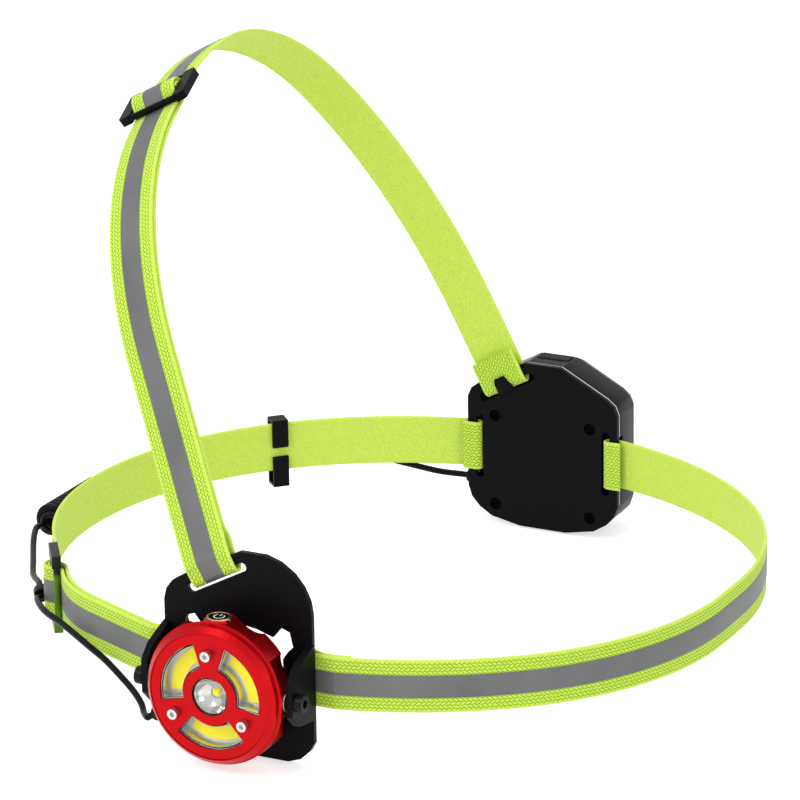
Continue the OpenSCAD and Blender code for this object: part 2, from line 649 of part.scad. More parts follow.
module at_shoulder_slot() {
  translate([rear_shoulder_x, rear_y, rear_shoulder_z]) rotate([0, -lean, 0]) children();
}
module rear_plate() {
  color("#1c1c1e") difference() {
    plate_sheet(rear_outline, rear_y, plate_t);
    for (s = [-1, 1]) translate([s * rear_slot_x, rear_y, 0]) rotate([0, 90, 0])
      slot_cut(slot_len, slot_w, 10);
    at_shoulder_slot() slot_cut(slot_len, slot_w, 10);
    translate([0, rear_y, 0]) at_case_screws() {
      translate([0, 0, -1]) cylinder(r = case_screw_d / 2 + 0.15, h = 10);
      translate([0, 0, -1]) cylinder(r = 2.9, h = 2.4);
    }
  }
}
module case_screws() {
  color("#303032") translate([0, rear_y, 0]) at_case_screws() difference() {
    union() {
      translate([0, 0, 0.6]) cylinder(r = 2.7, h = 0.8);
      translate([0, 0, 1]) cylinder(r = case_screw_d / 2 - 0.02, h = 10);
    }
    cylinder(r = 1, h = 1, $fn = 6);
  }
}
// Room that the straps' folds need behind the rear plate
module fold_room(depth) {
  for (s = [-1, 1]) translate([s > 0 ? rear_slot_x - slot_w / 2 - 1 : -60, seal_y - 1,
    -strap_w / 2 - 1.5]) cube([27.7 + slot_w / 2, depth + 1, strap_w + 3]);
  at_shoulder_slot() translate([-strap_w / 2 - 1.5, plate_t - 1, -slot_w / 2 - 1])
    cube([strap_w + 3, depth + 1, 40]);
}
module case_seal() {
  color("gainsboro") difference() {
    plate_sheet(inset(rear_outline, 0.4), seal_y, seal_t);
    plate_sheet(inset(rear_outline, 4), seal_y - 1, seal_t + 2);
    fold_room(seal_t + 1);
  }
}
module case_block(d, y0, y1) {
  hull() {
    plate_sheet(inset(rear_outline, 0.4 + d), y0, case_flat - y0 + case_y - d / 2);
    plate_sheet(inset(rear_outline, 5 + d), y1 - 0.5, 0.5);
  }
}
cell_y = case_y + 5.2 + cell_d / 2;
cell_z = -6;
cell_gap = 0.8;
module battery_case() {
  color("#161617") difference() {
    union() {
      difference() {
        case_block(0, case_y, case_y + case_depth);
        case_block(case_wall, case_y - 1, case_y + case_depth - case_wall);
      }
      intersection() {
        case_block(0.5, case_y, case_y + case_depth - 0.5);
        union() {
          fold_floor();
          translate([0, case_y, 0]) at_case_screws() cylinder(r = 3.3, h = case_depth);
        }
      }
    }
    fold_room(seal_t + 3.2);
    translate([0, case_y, 0]) at_case_screws() translate([0, 0, -1])
      cylinder(r = case_screw_d / 2, h = 9);
    usb_opening();
    translate([-rear_half_w - 5, gland_y, gland_z]) rotate([0, 90, 0])
      cylinder(r = gland_d / 2, h = 12);
  }
}
// Inner walls under the folds' room
module fold_floor() {
  for (s = [-1, 1]) translate([s > 0 ? rear_slot_x - slot_w / 2 - 2 : -60, case_y,
    -strap_w / 2 - 2.7]) cube([28.7 + slot_w / 2, 4.4, strap_w + 5.4]);
  at_shoulder_slot() translate([-strap_w / 2 - 2.7, plate_t, -slot_w / 2 - 2.2])
    cube([strap_w + 5.4, seal_t + 4.4, 40]);
}
module battery_cells() {
  color("steelblue") for (s = [-1, 1])
    translate([0, cell_y, cell_z + s * (cell_d + cell_gap) / 2]) rotate([0, 90, 0])
      cylinder(d = cell_d, h = cell_len, center = true);
}
contact_t = 0.5;
contact_x = rear_half_w - case_wall - 2.3;
module contact_plates() {
  color("silver") for (s = [-1, 1], z = [-1, 1])
    translate([s * contact_x - contact_t / 2, cell_y - 5,
      cell_z + z * (cell_d + cell_gap) / 2 - 4]) cube([contact_t, 8, 8]);
}
module contact_springs() {
  spring_len = contact_x - contact_t / 2 - cell_len / 2;
  color("silver") for (s = [-1, 1], z = [-1, 1])
    translate([s * (cell_len / 2 + spring_len / 2), cell_y,
      cell_z + z * (cell_d + cell_gap) / 2]) rotate([0, 90, 0]) difference() {
        cylinder(r1 = s > 0 ? 2.6 : 4, r2 = s > 0 ? 4 : 2.6, h = spring_len, center = true);
        cylinder(r = 1.6, h = 20, center = true);
      }
}
usb_y = case_y + 12;
usb_top = rear_top - 2.6;
module usb_opening() {
  translate([-4.7, usb_y - 1.9, usb_top - 10]) cube([9.4, 3.8, 30]);
  translate([-8.2, usb_y - 4.2, rear_top - 1.5]) cube([16.4, 8.4, 10]);
}
module charge_board() {
  color("darkgreen") translate([-15, usb_y + 1.9, 17]) cube([30, 1.2, 20]);
}
module usb_socket() {
  color("silver") translate([-4.4, usb_y - 1.6, usb_top - 7]) difference() {
    cube([8.8, 3.2, 7]);
    translate([0.6, 0.5, 1]) cube([7.6, 2.2, 10]);
  }
}
module socket_cover() {
  color("#222224") {
    translate([-7.9, usb_y - 3.9, rear_top - 1.1]) cube([15.8, 7.6, 1.1]);
    translate([-3.3, usb_y - 0.6, rear_top - 2.7]) cube([6.6, 1.2, 2]);
  }
}
gland_y = case_y + 7.4;
gland_z = -20.5;
module case_gland() {
  color("black") translate([-rear_half_w, gland_y, gland_z]) rotate([0, -90, 0]) {
    translate([0, 0, -2.6]) cylinder(r = gland_d / 2 - 0.02, h = 5);
    translate([0, 0, -0.3]) cylinder(r = gland_d / 2 + 0.6, h = 5.8);
  }
}

// ---- lead ----
case_gland_tip = -rear_half_w - 5.5;
coil_x = -band_half_w - 9.6;
coil_z = -3;
coil_back = 34;
coil_turns = 12;
coil_ramp = 4.2;
coil_end = coil_back - coil_turns * coil_pitch - 2 * (coil_ramp + cord_d);
clip_cord_r = rear_corner_r + layer + cord_d / 2;
function clip_point(a) = [clip_x + clip_cord_r * cos(90 + a),
  rear_corner_y + clip_cord_r * sin(90 + a), -8.5];
// Point on the clamp's bore, d further along the strap
function clamp_point(d) = let (h = slider_at[2], o = under_r + bar_d / 2 + clamp_rise,
  l = slide_run / 2 - bar_pitch + d)
  [slider_at[0] + l * cos(h) + o * sin(h), slider_at[1] + l * sin(h) - o * cos(h), clamp_z];
function gland_point(d) = [(gland_tip + d) * cos(gland_turn), pivot_y - gland_lift,
  pivot_z + (gland_tip + d) * sin(gland_turn)];
rear_route = [[case_gland_tip - 0.3, gland_y, gland_z], [case_gland_tip - 4, gland_y, gland_z],
  [-60, 160.5, -19.5], [-75, 153, -15], [-92, 145, -10.5], clip_point(clip_a - 7),
  clip_point(clip_a), clip_point(clip_a + 6), [-149, 85, -9.5], [-160, 69, -8.5],
  [-168.5, 56, -6], [coil_x + 1, 46, coil_z - 1], [coil_x, coil_back + 4, coil_z],
  [coil_x, coil_back, coil_z]];
front_route = [[coil_x, coil_end, coil_z], [coil_x, coil_end - 4, coil_z], [-169.5, -39, -4],
  [-164.5, -48, -5.5], [-158, -59, -6.5], [-149, -74, -7], clamp_point(-14), clamp_point(-8),
  clamp_point(0), clamp_point(4), [-129, -104, -5.3], [-118, -116, -5], [-102.5, -126, -5.5],
  [-84, -137, -8], [-72, -142.5, -11], [-61, -147.5, -15.5], [-52.5, -152, -19],
  [-46, -157, -21.7], [-41.5, -162.5, -23.2], gland_point(4.5), gland_point(3),
  gland_point(0.9)];

function catmull(a, b, c, d, t) = 0.5 * ((2 * b) + (c - a) * t
  + (2 * a - 5 * b + 4 * c - d) * t * t + (3 * b - a - 3 * c + d) * t * t * t);
// Smooth points through a route, n to a stretch
function smooth_route(p, n) = concat([for (i = [0:len(p) - 2], k = [0:n - 1])
  catmull(p[max(i - 1, 0)], p[i], p[i + 1], p[min(i + 2, len(p) - 1)], k / n)],
  [p[len(p) - 1]]);
function unit(v) = v / norm(v);
function along(p, i) = unit(p[min(i + 1, len(p) - 1)] - p[max(i - 1, 0)]);
// Tube round the points p; ref holds the direction of each ring's first corner
module tube(p, ref, r, sides) {
  n = len(p);
  corners = [for (i = [0:n - 1]) let (t = along(p, i), a = unit(ref[i] - (ref[i] * t) * t),
    b = cross(t, a)) for (k = [0:sides - 1])
      p[i] + r * (cos(360 * k / sides) * a + sin(360 * k / sides) * b)];
  walls = [for (i = [0:n - 2], k = [0:sides - 1]) let (q = (k + 1) % sides)
    each [[i * sides + k, i * sides + q, (i + 1) * sides + q],
    [i * sides + k, (i + 1) * sides + q, (i + 1) * sides + k]]];
  ends = [[for (k = [sides - 1:-1:0]) k], [for (k = [0:sides - 1]) (n - 1) * sides + k]];
  polyhedron(corners, concat(walls, ends), convexity = 10);
}
module cord(route, n) {
  p = smooth_route(route, n);
  color("#1a1a1c") tube(p, [for (q = p) [0, 0, 1]], cord_d / 2, 8);
}
module cord_rear() {
  cord(rear_route, 2);
}
module cord_front() {
  cord(front_route, 2);
}
// The coil's middle line: a straight end, a half turn that opens out, the turns, and the same back
ring_step = 45;
coil_steps = coil_turns * 360 / ring_step;
function ease(t) = t * t * (3 - 2 * t);
function coil_at(r, a, y) = [coil_x + r * cos(a), y, coil_z + r * sin(a)];
coil_points = concat([coil_at(0, 0, coil_back)],
  [for (i = [0:3]) coil_at(coil_r * ease(i / 4), i * ring_step - 180,
    coil_back - cord_d - coil_ramp * i / 4)],
  [for (i = [0:coil_steps]) coil_at(coil_r, i * ring_step,
    coil_back - cord_d - coil_ramp - coil_turns * coil_pitch * i / coil_steps)],
  [for (i = [3:-1:0]) coil_at(coil_r * ease(i / 4), (4 - i) * ring_step + coil_turns * 360,
    coil_end + cord_d + coil_ramp * i / 4)],
  [coil_at(0, 0, coil_end)]);
function coil_ref(i) = i < 2 || i > len(coil_points) - 3 ? [1, 0, 0]
  : unit([coil_points[i][0] - coil_x + 0.001, 0, coil_points[i][2] - coil_z]);
coil_gap = min([for (i = [0:len(coil_points) - 7], j = [i + 6:len(coil_points) - 1])
  norm(coil_points[i] - coil_points[j])]) - cord_d;
module cord_coil() {
  color("#1a1a1c") tube(coil_points, [for (i = [0:len(coil_points) - 1]) coil_ref(i)],
    cord_d / 2, 6);
}
echo(coil_gap = coil_gap);

front_bracket();
strap_pins();
lamp_body();
face_plate();
face_seal();
face_screws();
arc_windows();
arc_reflectors();
cob_strips();
led_board();
spot_lens();
spot_reflector();
spot_led();
driver_board();
power_button();
button_ring();
button_switch();
lamp_gland();
pivot_screws();
pivot_washers();
band_strap_right();
band_strap_left();
shoulder_strap();
side_slider();
top_buckle();
cord_clip();
cord_clamp();
rear_plate();
case_screws();
case_seal();
battery_case();
battery_cells();
contact_springs();
contact_plates();
charge_board();
usb_socket();
socket_cover();
case_gland();
cord_rear();
cord_coil();
cord_front();
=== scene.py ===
# %% [markdown]
# # A body-worn headlamp, dressed for its picture
# A round lamp tilts in a bracket on the chest, a battery case rides on the back, and elastic
# webbing joins them: one band round the body and one strap over the shoulder. The construction
# model already holds every piece at its real size. This lesson loads it as a fixed frame, gives
# each rigid piece soft edges and a finish, weaves the straps anew along the same paths, and
# draws the coiled lead as a smooth curve.

# %% Load the frame
import json
from math import acos, asin, atan, atan2, ceil, cos, degrees, floor, pi, radians, sin, sqrt, tan

import bmesh
import bpy
from mathutils import Matrix, Vector

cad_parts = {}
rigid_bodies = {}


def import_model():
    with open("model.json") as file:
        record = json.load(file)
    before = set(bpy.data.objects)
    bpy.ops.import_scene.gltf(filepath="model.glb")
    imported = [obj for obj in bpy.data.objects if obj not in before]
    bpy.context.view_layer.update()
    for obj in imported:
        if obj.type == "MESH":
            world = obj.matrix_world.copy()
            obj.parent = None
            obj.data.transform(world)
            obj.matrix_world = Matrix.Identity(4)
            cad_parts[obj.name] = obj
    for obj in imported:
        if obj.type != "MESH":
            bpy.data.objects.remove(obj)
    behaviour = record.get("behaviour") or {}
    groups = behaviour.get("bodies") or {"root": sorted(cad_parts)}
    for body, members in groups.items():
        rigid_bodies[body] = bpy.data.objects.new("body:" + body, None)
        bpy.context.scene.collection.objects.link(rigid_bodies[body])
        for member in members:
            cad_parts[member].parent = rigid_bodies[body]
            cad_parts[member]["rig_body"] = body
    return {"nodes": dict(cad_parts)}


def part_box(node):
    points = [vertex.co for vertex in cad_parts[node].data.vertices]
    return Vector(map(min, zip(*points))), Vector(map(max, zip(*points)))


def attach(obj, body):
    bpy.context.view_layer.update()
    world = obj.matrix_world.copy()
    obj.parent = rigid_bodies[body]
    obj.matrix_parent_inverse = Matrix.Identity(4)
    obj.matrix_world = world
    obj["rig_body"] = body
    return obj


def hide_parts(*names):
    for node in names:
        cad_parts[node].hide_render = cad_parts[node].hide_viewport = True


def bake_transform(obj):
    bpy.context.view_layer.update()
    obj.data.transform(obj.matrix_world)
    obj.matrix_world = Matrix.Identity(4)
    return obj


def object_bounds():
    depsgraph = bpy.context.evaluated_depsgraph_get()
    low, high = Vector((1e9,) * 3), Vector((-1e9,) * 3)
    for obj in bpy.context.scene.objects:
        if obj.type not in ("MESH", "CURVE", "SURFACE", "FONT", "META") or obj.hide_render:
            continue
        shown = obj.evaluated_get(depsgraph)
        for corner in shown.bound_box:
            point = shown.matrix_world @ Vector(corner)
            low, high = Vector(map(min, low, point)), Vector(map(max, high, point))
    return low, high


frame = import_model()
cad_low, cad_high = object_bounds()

MM = 0.001
scene = bpy.context.scene

# %% [markdown]
# ## Camera and light
# A long lens keeps the loops of webbing nearly parallel, as a product table does. The camera
# stands high and to the right of the lamp. Large soft lamps light it from the front and above,
# and the white surroundings are seen only by the camera and by mirrors and glass.

# %% Camera
look_at = Vector((1.6, 0, 75)) * MM
azimuth, elevation, roll = radians(27.03), radians(18.67), radians(-0.85)
away = Vector((sin(azimuth) * cos(elevation), -cos(azimuth) * cos(elevation), sin(elevation)))
camera = bpy.data.objects.new("camera", bpy.data.cameras.new("camera"))
scene.collection.objects.link(camera)
camera.matrix_world = (Matrix.Translation(look_at + away * 2.2025)
                       @ away.to_track_quat("Z", "Y").to_matrix().to_4x4()
                       @ Matrix.Rotation(roll, 4, "Z"))
camera.data.lens = 220.9
camera.data.sensor_width = 36
camera.data.clip_end = 30
scene.camera = camera
scene.view_settings.view_transform = "Standard"
print("camera at", [round(x, 3) for x in camera.matrix_world.translation])


# %% Node helpers
def add(tree, kind, settings=None, **sockets):
    """Adds a shader node; each socket takes a number, a colour or another node's output."""
    made = tree.nodes.new("ShaderNode" + kind)
    for key, value in (settings or {}).items():
        setattr(made, key, value)
    for key, value in sockets.items():
        socket = made.inputs[key.replace("_", " ")]
        if isinstance(value, bpy.types.NodeSocket):
            tree.links.new(value, socket)
        else:
            socket.default_value = value
    return made


def calc(tree, operation, *values):
    """A Math node whose inputs are numbers or other nodes' outputs."""
    made = tree.nodes.new("ShaderNodeMath")
    made.operation = operation
    for socket, value in zip(made.inputs, values):
        if isinstance(value, bpy.types.NodeSocket):
            tree.links.new(value, socket)
        else:
            socket.default_value = value
    return made.outputs[0]


def seen_directly(tree):
    """1 for rays from the camera, off a mirror or through glass."""
    path = add(tree, "LightPath").outputs
    return calc(tree, "MAXIMUM", path["Is Camera Ray"],
                calc(tree, "MAXIMUM", path["Is Glossy Ray"], path["Is Transmission Ray"]))


# %% Surroundings and lamps
world = bpy.data.worlds.new("white room")
scene.world = world
world.use_nodes = True
sky = world.node_tree
strength = calc(sky, "MULTIPLY_ADD", seen_directly(sky), 0.3, 0.7)
sky.links.new(strength, sky.nodes["Background"].inputs["Strength"])
sky.nodes["Background"].inputs["Color"].default_value = (1, 1, 1, 1)


def softbox(name, place, size, power):
    """A square area lamp at a place in metres, facing the middle of the harness."""
    lamp = bpy.data.objects.new(name, bpy.data.lights.new(name, "AREA"))
    lamp.data.size = size
    lamp.data.energy = power
    scene.collection.objects.link(lamp)
    place = Vector(place)
    lamp.matrix_world = (Matrix.Translation(place)
                         @ (place - look_at).to_track_quat("Z", "Y").to_matrix().to_4x4())
    return lamp


softbox("key", (-0.7, -1.5, 1.5), 0.8, 13)
softbox("fill", (1.7, -0.9, 0.6), 0.9, 4)
softbox("top", (0.0, 0.5, 1.9), 0.9, 6)

# %% Floor
floor_mesh = bpy.data.meshes.new("floor")
sheet = bmesh.new()
bmesh.ops.create_grid(sheet, x_segments=1, y_segments=1, size=6)
bmesh.ops.translate(sheet, verts=sheet.verts, vec=(0, 0, cad_low.z - 0.5 * MM))
sheet.to_mesh(floor_mesh)
sheet.free()
ground = bpy.data.objects.new("floor", floor_mesh)
scene.collection.objects.link(ground)
pale = bpy.data.materials.new("pale floor")
pale.use_nodes = True
tree = pale.node_tree
shader = tree.nodes["Principled BSDF"]
shader.inputs["Base Color"].default_value = (0.85, 0.85, 0.85, 1)
shader.inputs["Roughness"].default_value = 0.9
shader.inputs["Specular IOR Level"].default_value = 0.0
shader.inputs["Emission Color"].default_value = (1, 1, 1, 1)
glow = calc(tree, "MULTIPLY", seen_directly(tree), 0.62)
tree.links.new(glow, shader.inputs["Emission Strength"])
floor_mesh.materials.append(pale)

# %% [markdown]
# ## Finishes for the rigid pieces
# Moulded nylon, anodised aluminium and steel differ mostly in how their highlights spread, so
# each finish has its own fine grain, a slow drift in roughness and a faint drift in colour.
# They read Object coordinates, which are the metres of the model itself.

# %% Finish for rigid pieces
finishes = {}


def finish(name, colour, roughness, metal=0.0, specular=0.5, grain=900.0, depth=0.02,
           drift=0.08, **extra):
    """A finish with grain of that many cells to the metre; depth is the bump's strength."""
    made = bpy.data.materials.new(name)
    made.use_nodes = True
    tree = made.node_tree
    shader = tree.nodes["Principled BSDF"]
    place = add(tree, "TexCoord").outputs["Object"]
    slow = add(tree, "TexNoise", Vector=place, Scale=45.0, Detail=3.0).outputs["Fac"]
    fine = add(tree, "TexNoise", Vector=place, Scale=grain, Detail=4.0).outputs["Fac"]
    mixed = calc(tree, "MULTIPLY_ADD", fine, 0.5, calc(tree, "MULTIPLY", slow, 0.5))
    ramp = add(tree, "ValToRGB", Fac=mixed)
    ramp.color_ramp.elements[0].position = 0.3
    ramp.color_ramp.elements[1].position = 0.7
    ramp.color_ramp.elements[0].color = (*[c * (1 - drift) for c in colour], 1)
    ramp.color_ramp.elements[1].color = (*[min(1, c * (1 + drift)) for c in colour], 1)
    tree.links.new(ramp.outputs["Color"], shader.inputs["Base Color"])
    rough = calc(tree, "MULTIPLY_ADD", mixed, 0.16, roughness - 0.08)
    tree.links.new(rough, shader.inputs["Roughness"])
    bump = add(tree, "Bump", Height=fine, Strength=depth, Distance=0.0004)
    tree.links.new(bump.outputs["Normal"], shader.inputs["Normal"])
    shader.inputs["Metallic"].default_value = metal
    shader.inputs["Specular IOR Level"].default_value = specular
    for key, value in extra.items():
        shader.inputs[key.replace("_", " ")].default_value = value
    finishes[name] = made
    return made


finish("black_nylon", (0.004, 0.004, 0.005), 0.4, specular=0.06, grain=2600, depth=0.25)
finish("black_gloss", (0.003, 0.003, 0.004), 0.3, specular=0.06, grain=1500, depth=0.04)
finish("black_rubber", (0.007, 0.007, 0.007), 0.55, specular=0.14, grain=1800, depth=0.1)
finish("black_steel", (0.005, 0.005, 0.006), 0.36, specular=0.12, grain=1500, depth=0.05)
finish("cord_black", (0.005, 0.005, 0.006), 0.28, specular=0.1, grain=700, depth=0.03)
# The seal is a real piece, but its pale grey is a painted highlight for the bright line along the top and right
# edges between the rear plate and the case.
finish("grey_seal", (0.62, 0.62, 0.60), 0.5, specular=0.3, grain=1400, depth=0.05)
finish("red_metal", (0.50, 0.003, 0.006), 0.32, metal=0.8, specular=0.3, grain=5200,
       depth=0.08, drift=0.05)
finish("steel", (0.62, 0.62, 0.63), 0.3, metal=1.0, grain=3000, depth=0.05)
finish("chrome", (0.60, 0.59, 0.56), 0.15, metal=1.0, grain=900, depth=0.02, drift=0.03)
finish("gold_ring", (0.80, 0.60, 0.34), 0.22, metal=1.0, grain=2600, depth=0.03)
# The faint yellow emission is a painted glow: it makes the unlit LEDs shine a little so they stay bright behind
# the glass.
finish("phosphor", (0.88, 0.74, 0.012), 0.42, specular=0.2, grain=3800, depth=0.12, drift=0.06,
       Emission_Color=(0.85, 0.70, 0.01, 1), Emission_Strength=0.18)
finish("board_white", (0.78, 0.78, 0.74), 0.5, grain=2200, depth=0.05)
finish("board_green", (0.02, 0.18, 0.07), 0.42, grain=2600, depth=0.08)
finish("cell_wrap", (0.05, 0.12, 0.30), 0.3, grain=1200, depth=0.03)
finish("white_mark", (0.75, 0.75, 0.75), 0.5, specular=0.2, grain=2600, depth=0.02, drift=0.03)
print("finishes:", ", ".join(sorted(finishes)))

# %% Clear window
clear = bpy.data.materials.new("clear")
clear.use_nodes = True
tree = clear.node_tree
shader = tree.nodes["Principled BSDF"]
shader.inputs["Base Color"].default_value = (0.97, 0.99, 0.99, 1)
shader.inputs["Roughness"].default_value = 0.02
shader.inputs["Transmission Weight"].default_value = 1.0
shader.inputs["IOR"].default_value = 1.2
shadow = add(tree, "LightPath").outputs["Is Shadow Ray"]
through = add(tree, "BsdfTransparent", Color=(0.95, 0.97, 0.97, 1))
either = add(tree, "MixShader", Fac=shadow)
tree.links.new(shader.outputs[0], either.inputs[1])
tree.links.new(through.outputs[0], either.inputs[2])
tree.links.new(either.outputs[0], tree.nodes["Material Output"].inputs["Surface"])
finishes["clear"] = clear

# %% [markdown]
# ## Rigid pieces with soft edges
# A moulded or turned edge is never sharp: a tenth of a millimetre of rounding is what catches
# the light. Each visible piece is copied from the frame, its loose triangles are joined and its
# flat faces merged, and only then are its hard edges bevelled. The frame's own piece is hidden.

# %% Copy a piece and soften it
def link(name, mesh, slot, body):
    """Makes a mesh an object with its finish, riding on a body.

    Reflective strips and the white mark are no part of the construction model's finishes.
    """
    made = bpy.data.objects.new(name, mesh)
    scene.collection.objects.link(made)
    mesh.materials.clear()
    mesh.materials.append(finishes[slot])
    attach(made, body)
    return made


def hard_edges(solid, angle):
    return [e for e in solid.edges if len(e.link_faces) == 2
            and e.calc_face_angle(0) > radians(angle)]


def smooth_but_hard(solid, angle=38):
    for face in solid.faces:
        face.smooth = True
    for edge in solid.edges:
        edge.smooth = not (len(edge.link_faces) == 2 and edge.calc_face_angle(0) > radians(angle))


def even_shading(piece):
    """Flat faces stay flat beside their rounded edges."""
    weighted = piece.modifiers.new("flat faces", "WEIGHTED_NORMAL")
    weighted.keep_sharp = True
    return piece


def soften(node, slot, radius=0.25, segments=2, angle=28):
    """Stands for a node, with its hard edges rounded by radius, in millimetres."""
    source = frame["nodes"][node]
    solid = bmesh.new()
    solid.from_mesh(source.data)
    bmesh.ops.remove_doubles(solid, verts=solid.verts, dist=2e-6)
    bmesh.ops.dissolve_limit(solid, angle_limit=radians(0.6), verts=solid.verts,
                             edges=solid.edges)
    if radius:
        bmesh.ops.bevel(solid, geom=hard_edges(solid, angle), offset=radius * MM,
                        segments=segments, profile=0.5, affect="EDGES", material=-1,
                        clamp_overlap=True)
    smooth_but_hard(solid)
    mesh = bpy.data.meshes.new(node + "_soft")
    solid.to_mesh(mesh)
    solid.free()
    made = link("worn_" + node, mesh, slot, source["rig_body"])
    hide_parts(node)
    return even_shading(made)


softened = {
    "front_bracket": ("black_nylon", 0.45), "lamp_body": ("red_metal", 0.3),
    "face_plate": ("red_metal", 0.18), "face_screws": ("steel", 0.15),
    "arc_windows": ("clear", 0.1), "arc_reflectors": ("chrome", 0.15),
    "cob_strips": ("phosphor", 0.1), "spot_reflector": ("chrome", 0),
    "spot_lens": ("clear", 0), "spot_led": ("phosphor", 0.1),
    "power_button": ("black_gloss", 0.3), "button_ring": ("gold_ring", 0.25),
    "lamp_gland": ("black_rubber", 0.4), "pivot_screws": ("black_steel", 0.4),
    "pivot_washers": ("steel", 0.1), "strap_pins": ("steel", 0.2),
    "side_slider": ("black_nylon", 0.5), "top_buckle": ("black_nylon", 0.5),
    "cord_clip": ("black_nylon", 0.3), "cord_clamp": ("black_nylon", 0.5),
    "rear_plate": ("black_nylon", 0.5), "case_screws": ("black_steel", 0.15),
    "battery_case": ("black_gloss", 0.8), "socket_cover": ("black_rubber", 0.3),
    "case_gland": ("black_rubber", 0.4), "case_seal": ("grey_seal", 0.15),
}
for node, (slot, radius) in softened.items():
    soften(node, slot, radius)
print("softened pieces:", len(softened))

# %% Countersunk screws of the case: painted shade, darker than black steel, for the shadow deep in their holes
sunk_screw_shade = finish("sunk_screw_painted_shade", (0.001, 0.001, 0.001), 0.6, specular=0.02, grain=1500, depth=0.02)
bpy.data.objects["worn_case_screws"].data.materials[0] = sunk_screw_shade

# %% Two-coloured slider: black at its upper end, and below it the strap's lime darkened as painted shade
# The lime below the black is the strap wrapped round the slider's bar, painted much darker than the webbing as
# shade.
slider_shade_paint = finish("slider_shaded_lime", (0.10, 0.20, 0.004), 0.4, specular=0.2, grain=2600, depth=0.25)
tree = slider_shade_paint.node_tree
height = add(tree, "SeparateXYZ", Vector=add(tree, "TexCoord").outputs["Object"]).outputs["Z"]
upper = add(tree, "MapRange", Value=height, From_Min=0.0085, From_Max=0.0105).outputs[0]
dip = add(tree, "Mix", {"data_type": "RGBA"}, Factor=upper)
tree.links.new(tree.nodes["Color Ramp"].outputs["Color"], dip.inputs["A"])
dip.inputs["B"].default_value = (0.006, 0.006, 0.007, 1)
tree.links.new(dip.outputs["Result"], tree.nodes["Principled BSDF"].inputs["Base Color"])
bpy.data.objects["worn_side_slider"].data.materials[0] = slider_shade_paint

# %% Power symbol: an open ring with a bar in its gap
button_low, button_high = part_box("power_button")
mark_r, mark_w, mark_t = 2.0 * MM, 0.55 * MM, 0.06 * MM
outline = bmesh.new()
ring = [outline.verts.new((r * sin(a), r * cos(a), 0))
        for a in [radians(40 + 20 * i) for i in range(15)] for r in (mark_r, mark_r + mark_w)]
for a, b, c, d in zip(ring[0::2], ring[1::2], ring[3::2], ring[2::2]):
    outline.faces.new((a, b, c, d))
bar_corners = [(-0.5, 0.9), (0.5, 0.9), (0.5, 5.2), (-0.5, 5.2)]
outline.faces.new([outline.verts.new((mark_w * x, mark_w * y, 0)) for x, y in bar_corners])
raised = bmesh.ops.extrude_face_region(outline, geom=outline.faces)["geom"]
bmesh.ops.translate(outline, verts=[v for v in raised if isinstance(v, bmesh.types.BMVert)],
                    vec=(0, 0, mark_t))
bmesh.ops.recalc_face_normals(outline, faces=outline.faces)
bmesh.ops.translate(outline, verts=outline.verts,
                    vec=((button_low.x + button_high.x) / 2, (button_low.y + button_high.y) / 2,
                         button_high.z - mark_t / 2))
mark_mesh = bpy.data.meshes.new("power_symbol")
outline.to_mesh(mark_mesh)
outline.free()
link("power_symbol", mark_mesh, "white_mark", "button")
print("power symbol", round((mark_r + mark_w) * 2 / MM, 1), "mm wide")

# %% Pieces inside the lamp and the case
inside = {"face_seal": "black_rubber", "led_board": "board_white", "driver_board": "board_green",
          "button_switch": "steel", "battery_cells": "cell_wrap", "contact_springs": "steel",
          "contact_plates": "steel", "charge_board": "board_green", "usb_socket": "steel"}
for node, slot in inside.items():
    piece = frame["nodes"][node]
    for place in piece.material_slots:
        place.material = finishes[slot]
print("pieces left as they come:", len(inside))

# %% [markdown]
# ## Webbing
# The straps are knitted elastic, 24 mm wide and 1.6 mm thick. A strap is first laid flat with a
# rounded cross-section, then bent station by station along its path: the same straights and
# turns that the construction model uses. Each point keeps where it lay on the flat strap, so
# that the knit follows every fold and never stretches.

# %% Measures of the straps, in millimetres
strap_w, strap_t, strap_gap = 24, 1.6, 0.3
tab_len, band_half_w, kink_r, kink_a = 6, 164, 5, 13
flat_r, flat_a, left_a, left_r, left_turn = 173, 39, 24, 66, 31
left_lead, left_side_r = 24, 132
lean, arch_top, arch_rise, arch_rear_r, arch_rear_a = 28, 245, 32, 222, 35
arch_front_r, buckle_a, bar_d, bar_pitch = 150, 20, 3, 9
plate_t, slot_w = 2.5, 4
plate_low, plate_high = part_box("rear_plate")
bracket_low, bracket_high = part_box("front_bracket")
rear_y, rear_half_w = plate_low.y / MM, plate_high.x / MM
front_back_y = rear_y - 302
front_y = front_back_y - plate_t
rear_slot_x, front_half_w = 33.3, 35.8
layer = strap_t / 2 + strap_gap
pin_r, fold_r = 1.25 + layer, plate_t / 2 + layer
rear_layer_y = rear_y + plate_t / 2 + fold_r
pin_y = front_back_y + layer + pin_r
pin_x = front_half_w - 5.5
front_layer_y = pin_y - pin_r
slot_edge = rear_slot_x + slot_w / 2
rear_start_x, front_start_x = rear_half_w - 1, front_half_w + 8
print("rear layer at y", round(rear_layer_y, 2), "front layer at y", round(front_layer_y, 2))


# %% Paths of straights [0, length] and turns [radius, angle]
def dsin(a):
    return sin(radians(a))


def dcos(a):
    return cos(radians(a))


def step_to(place, step, part=1.0):
    x, y, heading = place
    if step[0] == 0:
        return (x + part * step[1] * dcos(heading), y + part * step[1] * dsin(heading), heading)
    reach = step[0] if step[1] > 0 else -step[0]
    turned = heading + part * step[1]
    return (x + reach * (dsin(turned) - dsin(heading)),
            y - reach * (dcos(turned) - dcos(heading)), turned)


def after(path, count, place=(0, 0, 0)):
    for step in path[:count]:
        place = step_to(place, step)
    return place


